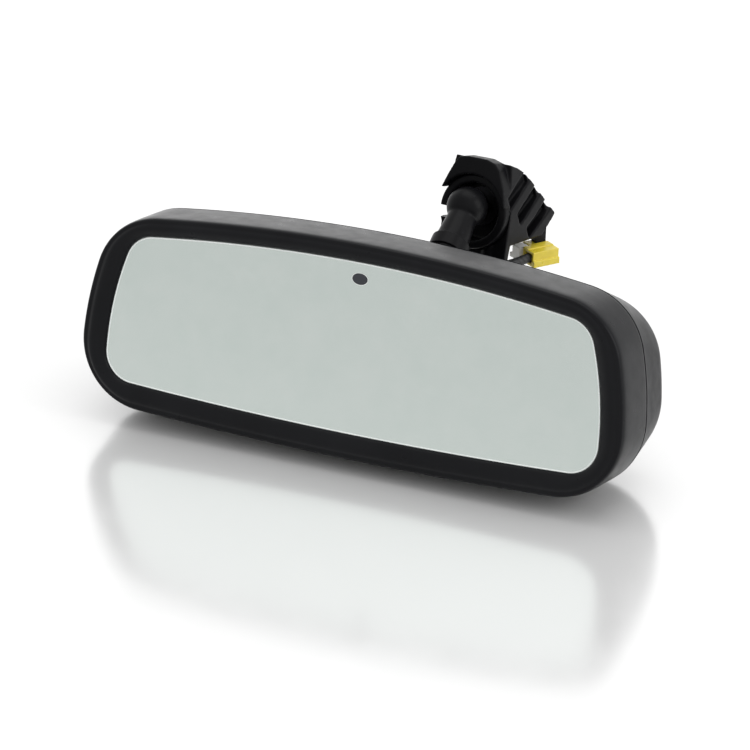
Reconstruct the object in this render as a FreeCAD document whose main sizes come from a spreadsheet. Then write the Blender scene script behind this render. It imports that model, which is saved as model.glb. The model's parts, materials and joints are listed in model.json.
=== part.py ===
import FreeCAD, Part
import math
import os
import re

import Sketcher
from FreeCAD import Placement, Rotation, Vector

# Interior rearview mirror with an auto-dimming glass, a double-ball arm and a windscreen mount.
# Four local frames are used. Each is placed in the part's frame at the end of this file's setup.
#   head  : origin in the glass opening's centre, X along the glass, Y into the head, Z up the glass
#   mount : origin in the centre of the retaining ring, Y from the ring into the bracket, Z up
#   neck  : origin in the upper ball's centre, Z along the arm's neck to its elbow
#   arm   : origin in the elbow, Z along the arm towards the head's ball
# The part's own origin is the mouth of the windscreen button's bore, +X along the head, +Z up.

SIZES = {
    # glass opening and the head's shells
    "glass_half_top": 105.1,
    "glass_half_bottom": 114.1,
    "glass_half_tall": 32.1,
    "bulge_top": 7.3,
    "bulge_bottom": 3.3,
    "bulge_side": 3.8,
    "glass_corner": 13.5,
    "rim_side": 11.6,
    "rim_top": 8.8,
    "rim_bottom": 11.2,
    "wall": 2.2,
    "rim_corner": 31.0,
    "glass_recess": 3.7,
    "lip_face": 3.2,
    "seam_depth": 27.0,
    "seam_gap": 0.6,
    "front_round": 2.6,
    "back_depth": 58.6,
    "back_round": 14.0,
    "back_in_side": 1.6,
    "back_in_tall": 11.0,
    "glass_cover": 2.6,
    "lite_thick": 2.0,
    "gel_thick": 0.3,
    "seal_wide": 2.4,
    "foam_thick": 1.0,
    "foam_margin": 6.0,
    "carrier_thick": 2.0,
    "clip_thick": 0.3,
    "clip_tall": 3.6,
    "clip_long": 150.0,
    # electronics
    "board_long": 78.0,
    "board_tall": 38.0,
    "board_thick": 1.6,
    "board_depth": 14.0,
    "board_height": 17.0,
    "sensor_along": 1.1,
    "sensor_height": 32.2,
    "pipe_rad": 2.1,
    "chip_side": 9.0,
    "chip_thick": 1.4,
    "can_rad": 3.2,
    "can_tall": 7.0,
    "ambient_along": 34.0,
    "ambient_height": 22.0,
    "lens_rad": 3.0,
    "lens_end": 56.4,
    # head socket
    "socket_depth": 38.0,
    "socket_height": -6.0,
    "ball_rad": 8.0,
    "shell_gap": 0.3,
    "cup_thick": 1.2,
    "band_thick": 1.0,
    "dome_thick": 2.0,
    "plate_thick": 2.0,
    "plate_long": 60.0,
    "plate_tall": 36.0,
    "post_along": 25.0,
    "post_height": 13.0,
    "post_rad": 3.6,
    "screw_rad": 1.4,
    "screw_head_rad": 2.9,
    "screw_head_tall": 1.8,
    "screw_long": 11.0,
    "socket_opening_angle": 60.0,
    "arm_hole_rad": 17.0,
    "arm_hole_along": 4.2,
    "arm_hole_height": 13.8,
    # arm
    "dome_rad": 9.1,
    "liner_thick": 1.0,
    "stud_ball_rad": 5.5,
    "stud_neck_rad": 2.5,
    "neck_rad": 6.6,
    "collar_start": 20.0,
    "collar_rad": 8.7,
    "collar_long": 6.0,
    "tube_rad": 7.8,
    "tube_end": 14.2,
    "neck_fall": 42.0,
    "elbow_at": 27.0,
    "tail_rad": 4.5,
    "harness_bore": 2.4,
    "harness_rad": 1.9,
    "dome_opening_angle": 50.0,
    # mount
    "ring_rad": 16.5,
    "ring_wide": 3.9,
    "ring_long": 5.0,
    "ring_slot": 4.9,
    "stud_height": 2.1,
    "stud_forward": 4.8,
    "recess_depth": 9.5,
    "slope_angle": 33.5,
    "flank_half": 17.0,
    "wire_way_along": 8.0,
    "wire_way_deep": 7.4,
    "slot_wide": 6.0,
    "slot_rise": 37.0,
    "slot_long": 19.8,
    "slot_floor": 12.6,
    "notch_floor": 14.4,
    "button_rad": 7.5,
    "button_depth": 6.0,
    "set_screw_rad": 2.5,
    # wiring connector under the mount
    "plug_long": 13.6,
    "plug_wide": 14.0,
    "plug_tall": 6.9,
    "plug_wall": 1.2,
    "flange_tall": 3.0,
    "sleeve_rad": 2.1,
}

doc = FreeCAD.newDocument("mirror")
sheet = doc.addObject("Spreadsheet::Sheet", "Sizes")
for row, (alias, value) in enumerate(SIZES.items(), start=1):
    sheet.set("A%d" % row, alias)
    sheet.set("B%d" % row, str(value))
    sheet.setAlias("B%d" % row, alias)
doc.recompute()


def size(alias):
    return float(sheet.get(alias))


def bind(obj, prop, expression):
    """Binds a property to the sheet; the expression names the sheet's aliases."""
    with_sheet = re.sub(r"[a-z][a-z_0-9]*", lambda word: sheet_word(word.group()), expression)
    obj.setExpression(prop, with_sheet)


def sheet_word(word):
    return "Sizes." + word if word in SIZES else word


# ------------------------------------------------------------------ frames
HEAD_LEAN = -12.4
MOUNT_YAW = -7.27
MOUNT_PITCH = -5.22
RING_IN_HEAD = Vector(8.1, 104.5, 45.9)
SLOPE_TOP = Vector(0, 22.0, 16.3)

turn_x = lambda angle: Rotation(Vector(1, 0, 0), angle)
turn_z = lambda angle: Rotation(Vector(0, 0, 1), angle)

slope = math.radians(size("slope_angle"))
SLOPE_OUT = Vector(0, math.sin(slope), math.cos(slope))
BUTTON = SLOPE_TOP + Vector(0, math.cos(slope), -math.sin(slope)) * 13.0

mount_in_head = Placement(RING_IN_HEAD, turn_z(MOUNT_YAW) * turn_x(MOUNT_PITCH))
head_turn = Placement(Vector(), turn_x(HEAD_LEAN))
button_turned = head_turn.multiply(mount_in_head).multVec(BUTTON)
HEAD = Placement(button_turned * -1, head_turn.Rotation)
MOUNT = HEAD.multiply(mount_in_head)

UPPER_BALL = mount_in_head.multVec(Vector(0, -size("stud_forward"), size("stud_height")))
LOWER_BALL = Vector(0, size("socket_depth"), size("socket_height"))
NECK_AXIS = Vector(0, -1, -math.tan(math.radians(size("neck_fall")))).normalize()
ELBOW = UPPER_BALL + NECK_AXIS * size("elbow_at")
ARM_AXIS = (LOWER_BALL - ELBOW).normalize()
ARM_LONG = (LOWER_BALL - ELBOW).Length


def along_axis(origin, axis):
    """A local frame whose Z runs along an axis."""
    side = axis.cross(Vector(0, 0, 1)).normalize()
    return Placement(origin, Rotation(side, axis.cross(side), axis, "XYZ"))


neck_in_head = along_axis(UPPER_BALL, NECK_AXIS)
arm_in_head = along_axis(ELBOW, ARM_AXIS)
NECK = HEAD.multiply(neck_in_head)
ARM_IN_NECK = neck_in_head.inverse().multiply(arm_in_head)
ARM = HEAD.multiply(arm_in_head)

# ------------------------------------------------------------------ helpers
NODES = []


def keep(obj, label, frame):
    """Labels a finished sub-part and moves it from its local frame to the part's frame."""
    obj.Label = label
    obj.Placement = frame.multiply(obj.Placement)
    NODES.append(obj)
    return obj


def number(obj, prop, value):
    if isinstance(value, str):
        bind(obj, prop, value)
    else:
        setattr(obj, prop, value)


def body(name):
    return doc.addObject("PartDesign::Body", name + "_body")


def plane(owner, role):
    return next(f for f in owner.Origin.OriginFeatures if f.Role == role)


def sketch(owner, role, offset=0.0):
    """A sketch on one of the body's own planes, moved along the plane's normal."""
    made = owner.newObject("Sketcher::SketchObject", owner.Name + "_sketch")
    made.AttachmentSupport = (plane(owner, role), [""])
    made.MapMode = "FlatFace"
    if isinstance(offset, str):
        bind(made, "AttachmentOffset.Base.z", offset)
    else:
        made.AttachmentOffset = Placement(Vector(0, 0, offset), Rotation())
    return made


def closed(target, points):
    """Draws straight edges through (x, y) points and joins the last to the first."""
    corners = [Vector(x, y, 0) for x, y in points]
    first = target.GeometryCount
    for here, there in zip(corners, corners[1:] + corners[:1]):
        target.addGeometry(Part.LineSegment(here, there), False)
    count = len(corners)
    for index in range(count):
        after = first + (index + 1) % count
        target.addConstraint(Sketcher.Constraint("Coincident", first + index, 2, after, 1))


def circle(target, x, y, radius):
    """A circle whose radius may be bound to the sheet."""
    value = 1.0 if isinstance(radius, str) else radius
    index = target.addGeometry(Part.Circle(Vector(x, y, 0), Vector(0, 0, 1), value), False)
    rule = target.addConstraint(Sketcher.Constraint("Radius", index, value))
    if isinstance(radius, str):
        target.renameConstraint(rule, "radius%d" % index)
        bind(target, "Constraints.radius%d" % index, radius)


def pad(owner, profile, length, reverse=False, both=False):
    made = owner.newObject("PartDesign::Pad", owner.Name + "_pad")
    made.Profile = profile
    number(made, "Length", length)
    made.Reversed = reverse
    made.Midplane = both
    owner.Tip = made
    return made


def pocket(owner, profile, length, reverse=False):
    before = owner.Shape.Volume
    made = owner.newObject("PartDesign::Pocket", owner.Name + "_pocket")
    made.Profile = profile
    number(made, "Length", length)
    made.Reversed = reverse
    owner.Tip = made
    doc.recompute()
    assert owner.Shape.Volume < before - 0.01, owner.Name + " pocket cuts nothing"
    return made


def revolve(owner, profile):
    """Revolves an XZ sketch about the body's Z axis."""
    made = owner.newObject("PartDesign::Revolution", owner.Name + "_turned")
    made.Profile = profile
    made.ReferenceAxis = (profile, ["V_Axis"])
    made.Angle = 360
    owner.Tip = made
    return made


def box(name, long, deep, tall, low):
    """A box from its lowest corner; its three sizes may be bound to the sheet."""
    made = doc.addObject("Part::Box", name)
    for prop, value in zip(("Length", "Width", "Height"), (long, deep, tall)):
        number(made, prop, value)
    made.Placement.Base = Vector(*low)
    return made


def cylinder(name, radius, tall, base, axis):
    made = doc.addObject("Part::Cylinder", name)
    number(made, "Radius", radius)
    number(made, "Height", tall)
    made.Placement = Placement(Vector(*base), Rotation(Vector(0, 0, 1), Vector(*axis)))
    return made


def cone(name, radius1, radius2, tall, base, axis):
    made = doc.addObject("Part::Cone", name)
    number(made, "Radius1", radius1)
    number(made, "Radius2", radius2)
    number(made, "Height", tall)
    made.Placement = Placement(Vector(*base), Rotation(Vector(0, 0, 1), Vector(*axis)))
    return made


def sphere(name, radius, centre):
    made = doc.addObject("Part::Sphere", name)
    number(made, "Radius", radius)
    made.Placement.Base = Vector(*centre)
    return made


def cut(name, base, *tools):
    for index, tool in enumerate(tools):
        made = doc.addObject("Part::Cut", "%s_cut%d" % (name, index))
        made.Base = base
        made.Tool = tool
        base = made
    return base


def join(name, *shapes):
    made = doc.addObject("Part::MultiFuse", name + "_joined")
    made.Shapes = list(shapes)
    return made


def group(name, *shapes):
    """Separate solids that share one node."""
    made = doc.addObject("Part::Compound", name + "_group")
    made.Links = list(shapes)
    return made


def shell(name, inner, thick, axis, opening, centre=(0, 0, 0)):
    """A spherical shell with a conical opening about an axis."""
    outer_ball = sphere(name + "_outer", inner + " + " + thick, centre)
    inner_ball = sphere(name + "_inner", inner, centre)
    reach = 30.0
    mouth = cone(name + "_mouth", 0, reach * math.tan(math.radians(opening)), reach, centre, axis)
    return cut(name, outer_ball, inner_ball, mouth)


# ------------------------------------------------------------------ the head's outline
def big_arc(start, end, bulge):
    """Centre and radius of the arc that joins two corners and bows out to the left of its path."""
    chord = end - start
    half = chord.Length / 2
    radius = (half * half + bulge * bulge) / (2 * bulge)
    out = Vector(chord.y, -chord.x, 0).normalize()
    return (start + end) * 0.5 - out * (radius - bulge), radius


def head_arcs(side, top, bottom, corner):
    """The head's rounded outline, grown from the glass opening: four bowed sides, four corners."""
    high = size("glass_half_tall")
    wide_top = size("glass_half_top")
    wide_bottom = size("glass_half_bottom")
    low_left = Vector(-wide_bottom, -high, 0)
    low_right = Vector(wide_bottom, -high, 0)
    top_right = Vector(wide_top, high, 0)
    top_left = Vector(-wide_top, high, 0)
    sides = [
        (big_arc(low_left, low_right, size("bulge_bottom")), bottom),
        (big_arc(low_right, top_right, size("bulge_side")), side),
        (big_arc(top_right, top_left, size("bulge_top")), top),
        (big_arc(top_left, low_left, size("bulge_side")), side),
    ]
    sides = [(centre, radius + more) for (centre, radius), more in sides]
    corners = []
    sharp = (low_right, top_right, top_left, low_left)
    for point, (centre1, radius1), (centre2, radius2) in zip(sharp, sides, sides[1:] + sides[:1]):
        corners.append(corner_centre(centre1, radius1 - corner, centre2, radius2 - corner, point))
    arcs = []
    for index, (centre, radius) in enumerate(sides):
        start = touch(centre, radius, corners[index - 1])
        end = touch(centre, radius, corners[index])
        arcs.append((start, bow(centre, radius, start, end), end))
        after_centre, after_radius = sides[(index + 1) % 4]
        leave = touch(after_centre, after_radius, corners[index])
        arcs.append((end, bow(corners[index], corner, end, leave), leave))
    return arcs


def corner_centre(centre1, reach1, centre2, reach2, near):
    """Where the corner's small circle sits inside two bowed sides: the crossing near the corner."""
    gap = centre2 - centre1
    span = gap.Length
    along = (reach1 * reach1 - reach2 * reach2 + span * span) / (2 * span)
    across = math.sqrt(reach1 * reach1 - along * along)
    gap.normalize()
    normal = Vector(-gap.y, gap.x, 0)
    options = [centre1 + gap * along + normal * across, centre1 + gap * along - normal * across]
    return min(options, key=lambda point: (point - near).Length)


def touch(centre, radius, inner):
    return centre + (inner - centre).normalize() * radius


def bow(centre, radius, start, end):
    """A point half way along an arc."""
    return centre + ((start + end) * 0.5 - centre).normalize() * radius


def head_outline(target, side, top, bottom, corner):
    """Draws the outline in a sketch on the head's XZ plane."""
    first = target.GeometryCount
    for start, middle, end in head_arcs(side, top, bottom, corner):
        target.addGeometry(Part.Arc(start, middle, end), False)
    for index in range(8):
        after = first + (index + 1) % 8
        target.addConstraint(Sketcher.Constraint("Coincident", first + index, 2, after, 1))


def head_plate(name, depth, thick, grow, drop=0.0):
    """A plate of the glass's outline: its front at a depth, grown sideways, smaller above and below."""
    made = body(name)
    profile = sketch(made, "XZ_Plane", "-(" + depth + ")")
    corner = size("glass_corner") + grow
    head_outline(profile, grow, grow - drop, grow - drop, corner)
    pad(made, profile, thick, reverse=True)
    return made


# ------------------------------------------------------------------ bezel and rear housing
def make_bezel():
    made = body("bezel")
    outer = sketch(made, "XZ_Plane")
    head_outline(outer, size("rim_side"), size("rim_top"), size("rim_bottom"), size("rim_corner"))
    front = pad(made, outer, "seam_depth", reverse=True)
    doc.recompute()
    rim = ["Edge%d" % (i + 1) for i, edge in enumerate(front.Shape.Edges)
           if edge.BoundBox.YMax < 0.01]
    rounded = made.newObject("PartDesign::Fillet", "bezel_round")
    rounded.Base = (front, rim)
    bind(rounded, "Radius", "front_round")
    made.Tip = rounded
    doc.recompute()
    window = sketch(made, "XZ_Plane")
    head_outline(window, 0, 0, 0, size("glass_corner"))
    pocket(made, window, "seam_depth")
    cavity = sketch(made, "XZ_Plane", "-glass_recess")
    inset = size("wall")
    head_outline(cavity, size("rim_side") - inset, size("rim_top") - inset,
                 size("rim_bottom") - inset, size("rim_corner") - inset)
    pocket(made, cavity, "seam_depth", reverse=False)
    walled = made.Tip
    inner = ["Edge%d" % (i + 1) for i, edge in enumerate(walled.Shape.Edges)
             if edge.BoundBox.YMax < 0.01 and inside_glass(edge)]
    lip = made.newObject("PartDesign::Chamfer", "bezel_lip")
    lip.Base = (walled, inner)
    bind(lip, "Size", "lip_face")
    made.Tip = lip
    return keep(made, "bezel", HEAD)


def inside_glass(edge):
    """True for an edge on the glass opening's own outline."""
    middle = edge.valueAt((edge.FirstParameter + edge.LastParameter) / 2)
    reach_x = size("glass_half_bottom") + size("bulge_side") + 1.0
    reach_z = size("glass_half_tall") + size("bulge_top") + 1.0
    return abs(middle.x) < reach_x and abs(middle.z) < reach_z


def outline_wire(depth, side, top, bottom, corner):
    """The head's outline as a wire at a depth behind the glass opening's front."""
    edges = []
    for arc in head_arcs(side, top, bottom, corner):
        edges.append(Part.Arc(*[Vector(point.x, depth, point.y) for point in arc]).toShape())
    return Part.Wire(edges)


def bowl(name, inset, back_depth, back_round):
    """A solid bowl from the seam to its flat back, with the back's edge rounded."""
    seam = size("seam_depth") + size("seam_gap")
    side = size("rim_side") - inset
    top = size("rim_top") - inset
    bottom = size("rim_bottom") - inset
    in_tall = size("back_in_tall")
    front = outline_wire(seam, side, top, bottom, size("rim_corner") - inset)
    back = outline_wire(back_depth, side - size("back_in_side"), top - in_tall, bottom - in_tall,
                        size("rim_corner") - 2.0 - inset)
    loft = Part.makeLoft([front, back], True, True)
    back_edges = [edge for edge in loft.Edges if edge.BoundBox.YMin > back_depth - 0.01]
    made = doc.addObject("Part::Feature", name)
    made.Shape = loft.makeFillet(back_round, back_edges)
    return made


def head_corners():
    """The four places of the pivot plate's screws."""
    return [(along * size("post_along"), up * size("post_height"))
            for along in (-1, 1) for up in (-1, 1)]


def make_rear_housing():
    wall = size("wall")
    back = size("back_depth")
    outer = bowl("housing_outer", 0.0, back, size("back_round"))
    inner = bowl("housing_inner", wall, back - wall, size("back_round") - wall)
    outer_shell = cut("housing", outer, inner)
    doc.recompute()
    assert outer_shell.Shape.Volume < 0.3 * outer.Shape.Volume, "the housing is not hollow"
    foot = size("socket_depth")
    posts = [cylinder("post", "post_rad", back - wall / 2 - foot, (x, foot, z), (0, 1, 0))
             for x, z in head_corners()]
    lip = body("housing_lip")
    profile = sketch(lip, "XZ_Plane", -(size("seam_depth") - 3.0))
    for inset in (wall + 0.25, wall + 2.0):
        head_outline(profile, size("rim_side") - inset, size("rim_top") - inset,
                     size("rim_bottom") - inset, size("rim_corner") - inset)
    pad(lip, profile, 6.0, reverse=True)
    arm_hole = cylinder("arm_hole", "arm_hole_rad", 22.0,
                        (size("arm_hole_along"), 46.0, size("arm_hole_height")), (0, 1, 0))
    lens_hole = cylinder("lens_hole", "lens_rad + 0.15", 22.0,
                         (size("ambient_along"), 46.0, size("ambient_height")), (0, 1, 0))
    screw_holes = [cylinder("post_hole", "screw_rad + 0.05", "screw_long", (x, foot, z), (0, 1, 0))
                   for x, z in head_corners()]
    whole = join("rear_housing", outer_shell, lip, *posts)
    keep(cut("rear_housing", whole, arm_hole, lens_hole, *screw_holes), "rear_housing", HEAD)


# ------------------------------------------------------------------ the glass and what backs it
def make_glass():
    keep(head_plate("front_glass", "glass_recess", "lite_thick", size("glass_cover")),
         "front_glass", HEAD)
    gel_depth = "glass_recess + lite_thick"
    seal = body("ec_seal")
    ring = sketch(seal, "XZ_Plane", "-(" + gel_depth + ")")
    for grow in (2.2, 2.2 - size("seal_wide")):
        head_outline(ring, grow, grow, grow, size("glass_corner") + grow)
    pad(seal, ring, "gel_thick", reverse=True)
    keep(seal, "ec_seal", HEAD)
    keep(head_plate("ec_gel", gel_depth, "gel_thick", 2.1 - size("seal_wide")), "ec_gel", HEAD)
    rear_depth = gel_depth + " + gel_thick"
    keep(head_plate("rear_glass", rear_depth, "lite_thick", 2.4, drop=0.6), "rear_glass", HEAD)
    back_of_glass = rear_depth + " + lite_thick"
    foam = head_plate("foam_pad", back_of_glass, "foam_thick", -1.0, drop=size("foam_margin"))
    doc.recompute()
    pipe_hole = sketch(foam, "XZ_Plane", "-(" + back_of_glass + ")")
    circle(pipe_hole, size("sensor_along"), size("sensor_height"), "pipe_rad + 0.3")
    pocket(foam, pipe_hole, "foam_thick", reverse=False)
    keep(foam, "foam_pad", HEAD)
    carrier = head_plate("glass_carrier", back_of_glass + " + foam_thick", "carrier_thick", 4.0)
    doc.recompute()
    openings = sketch(carrier, "XZ_Plane", "-(" + back_of_glass + " + foam_thick)")
    circle(openings, size("sensor_along"), size("sensor_height"), "pipe_rad + 0.3")
    for along in (-80, -55, 55, 80):
        circle(openings, along, 0, 9.0)
    pocket(carrier, openings, "carrier_thick", reverse=False)
    keep(carrier, "glass_carrier", HEAD)


def glass_back():
    """Depth of the rear glass's back face."""
    return size("glass_recess") + 2 * size("lite_thick") + size("gel_thick")


def make_bus_clips():
    for name, top in (("bus_clip_upper", True), ("bus_clip_lower", False)):
        edge = 36.4 if top else -37.9
        low = edge - size("clip_tall") if top else edge
        strip = box(name + "_strip", "clip_long", "clip_thick", "clip_tall",
                    (-size("clip_long") / 2, glass_back(), low))
        tab_side = 1 if top else -1
        tab = box(name + "_tab", 6.0, "foam_thick", "clip_thick",
                  (tab_side * 32.0 - 3.0, glass_back(), edge - (0.3 if top else 0.0)))
        pipe_room = cylinder(name + "_room", "pipe_rad + 0.5", 4.0,
                             (size("sensor_along"), glass_back() - 1.0, size("sensor_height")), (0, 1, 0))
        whole = join(name, strip, tab)
        keep(cut(name, whole, pipe_room) if top else whole, name, HEAD)


# ------------------------------------------------------------------ electronics
def board_back():
    return size("board_depth") + size("board_thick")


def make_electronics():
    board = body("circuit_board")
    profile = sketch(board, "XZ_Plane", "-board_depth")
    half = size("board_long") / 2
    high = size("board_height")
    tall = size("board_tall") / 2
    closed(profile, [(-half, high - tall), (half, high - tall), (half, high + tall), (-half, high + tall)])
    for along in (-34.0, 34.0):
        circle(profile, along, high, 1.6)
    pad(board, profile, "board_thick", reverse=True)
    keep(board, "circuit_board", HEAD)

    pipe_depth = glass_back()
    pipe_long = size("board_depth") - pipe_depth - 1.4
    keep(cylinder("light_pipe", "pipe_rad", pipe_long,
                  (size("sensor_along"), pipe_depth, size("sensor_height")), (0, 1, 0)),
         "light_pipe", HEAD)
    keep(box("glare_sensor", 4.0, 1.4, 3.6,
             (size("sensor_along") - 2.0, size("board_depth") - 1.4, size("sensor_height") - 1.8)),
         "glare_sensor", HEAD)
    back = board_back()
    keep(box("control_chip", "chip_side", "chip_thick", "chip_side", (-26.0, back, 15.0)),
         "control_chip", HEAD)
    cans = [cylinder("can%d" % i, "can_rad", "can_tall", (x, back, 30.0), (0, 1, 0))
            for i, x in enumerate((-30.0, -22.0, 20.0))]
    keep(group("capacitors", *cans), "capacitors", HEAD)
    keep(box("ambient_sensor", 4.4, 1.6, 4.4,
             (size("ambient_along") - 2.2, back, size("ambient_height") - 2.2)),
         "ambient_sensor", HEAD)
    lens_long = size("lens_end") - back - 1.8
    keep(cylinder("ambient_lens", "lens_rad", lens_long,
                  (size("ambient_along"), back + 1.8, size("ambient_height")), (0, 1, 0)),
         "ambient_lens", HEAD)
    header = box("header_block", 16.0, 7.0, 7.0, (12.0, back, 9.0))
    hollow = box("header_hollow", 14.0, 6.0, 5.0, (13.0, back + 1.0, 10.0))
    keep(cut("board_header", header, hollow), "board_header", HEAD)
    keep(box("board_plug", 13.6, 8.0, 4.6, (13.2, back + 1.2, 10.2)), "board_plug", HEAD)
    screws = []
    for along in (-34.0, 34.0):
        head = cylinder("board_head", 2.6, 1.6, (along, back, size("board_height")), (0, 1, 0))
        shank = cylinder("board_shank", 1.3, 4.4, (along, back - 4.4, size("board_height")), (0, 1, 0))
        screws.append(join("board_screw", head, shank))
    keep(group("board_screws", *screws), "board_screws", HEAD)
    spacers = []
    carrier_back = glass_back() + size("foam_thick") + size("carrier_thick")
    for along in (-34.0, 34.0):
        tube = cylinder("spacer", 2.6, size("board_depth") - carrier_back,
                        (along, carrier_back, size("board_height")), (0, 1, 0))
        bore = cylinder("spacer_bore", 1.45, 12.0, (along, carrier_back - 1, size("board_height")),
                        (0, 1, 0))
        spacers.append(cut("board_spacer", tube, bore))
    keep(group("board_spacers", *spacers), "board_spacers", HEAD)


# ------------------------------------------------------------------ head socket
def make_head_socket():
    centre = (LOWER_BALL.x, LOWER_BALL.y, LOWER_BALL.z)
    axis = (-ARM_AXIS.x, -ARM_AXIS.y, -ARM_AXIS.z)
    opening = size("socket_opening_angle")
    keep(shell("ball_cup", "ball_rad + shell_gap", "cup_thick", axis, opening - 2, centre),
         "ball_cup", HEAD)
    keep(shell("cup_band", "ball_rad + 2 * shell_gap + cup_thick", "band_thick", axis, opening,
               centre), "cup_band", HEAD)
    dome_inner = "ball_rad + 3 * shell_gap + cup_thick + band_thick"
    dome = shell("socket_dome", dome_inner, "dome_thick", axis, opening, centre)
    plate = box("plate_blank", "plate_long", "plate_thick", "plate_tall",
                (-size("plate_long") / 2, size("socket_depth") - size("plate_thick"),
                 -size("plate_tall") / 2))
    room = sphere("plate_room", dome_inner + " + 0.5 * dome_thick", centre)
    holes = [cylinder("plate_hole", "screw_rad + 0.1", 8.0,
                      (x * size("post_along"), size("socket_depth") - 5.0, z * size("post_height")),
                      (0, 1, 0)) for x in (-1, 1) for z in (-1, 1)]
    keep(join("pivot_plate", dome, cut("plate", plate, room, *holes)), "pivot_plate", HEAD)
    screws = []
    for along in (-1, 1):
        for up in (-1, 1):
            spot_x = along * size("post_along")
            spot_z = up * size("post_height")
            face = size("socket_depth") - size("plate_thick")
            head = cylinder("screw_head", "screw_head_rad", "screw_head_tall",
                            (spot_x, face - size("screw_head_tall"), spot_z), (0, 1, 0))
            shank = cylinder("screw_shank", "screw_rad", "screw_long", (spot_x, face, spot_z),
                             (0, 1, 0))
            drive = box("screw_slot", 4.0, 0.8, 0.8,
                        (spot_x - 2.0, face - size("screw_head_tall"), spot_z - 0.4))
            screws.append(cut("pivot_screw", join("screw", head, shank), drive))
    keep(group("pivot_screws", *screws), "pivot_screws", HEAD)
    wires = []
    for number_of_wire in range(4):
        route_x = 14.6 + 3.6 * number_of_wire
        start = Vector(route_x, board_back() + 9.2, 12.5)
        wires.append(make_tube([start, start + Vector(0, 5.0, 0), Vector(13 + number_of_wire, 28.0, 4.0),
                                Vector(5.4, 23.0, -1.0 - number_of_wire * 1.3)], 0.55))
    made = doc.addObject("Part::Feature", "head_wires_solid")
    made.Shape = Part.makeCompound(wires)
    keep(made, "head_wires", HEAD)


def make_tube(points, radius):
    """A round tube through points: straight runs joined by tangent arcs."""
    edges = []
    here = points[0]
    for before, corner, after in zip(points, points[1:], points[2:]):
        back = (before - corner).normalize()
        ahead = (after - corner).normalize()
        half_turn = (math.pi - back.getAngle(ahead)) / 2
        run = 0.45 * min((before - corner).Length, (after - corner).Length)
        start = corner + back * run
        end = corner + ahead * run
        bend = run / math.tan(half_turn)
        inward = (back + ahead).normalize()
        middle = corner + inward * (bend / math.cos(half_turn) - bend)
        edges.append(Part.LineSegment(here, start).toShape())
        edges.append(Part.Arc(start, middle, end).toShape())
        here = end
    edges.append(Part.LineSegment(here, points[-1]).toShape())
    path = Part.Wire(edges)
    start_way = (points[1] - points[0]).normalize()
    section = Part.Wire([Part.Circle(points[0], start_way, radius).toShape()])
    tube = path.makePipeShell([section], True, True)
    length = sum(edge.Length for edge in edges)
    assert abs(tube.Volume / (math.pi * radius ** 2 * length) - 1) < 0.02, "a tube lost volume"
    return tube


# ------------------------------------------------------------------ arm
STUD_WAY = neck_in_head.Rotation.inverted().multVec(mount_in_head.Rotation.multVec(Vector(0, 1, 0)))


def in_neck(obj):
    """Moves a shape drawn in the arm's frame into the neck's."""
    obj.Placement = ARM_IN_NECK.multiply(obj.Placement)
    return obj


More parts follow.
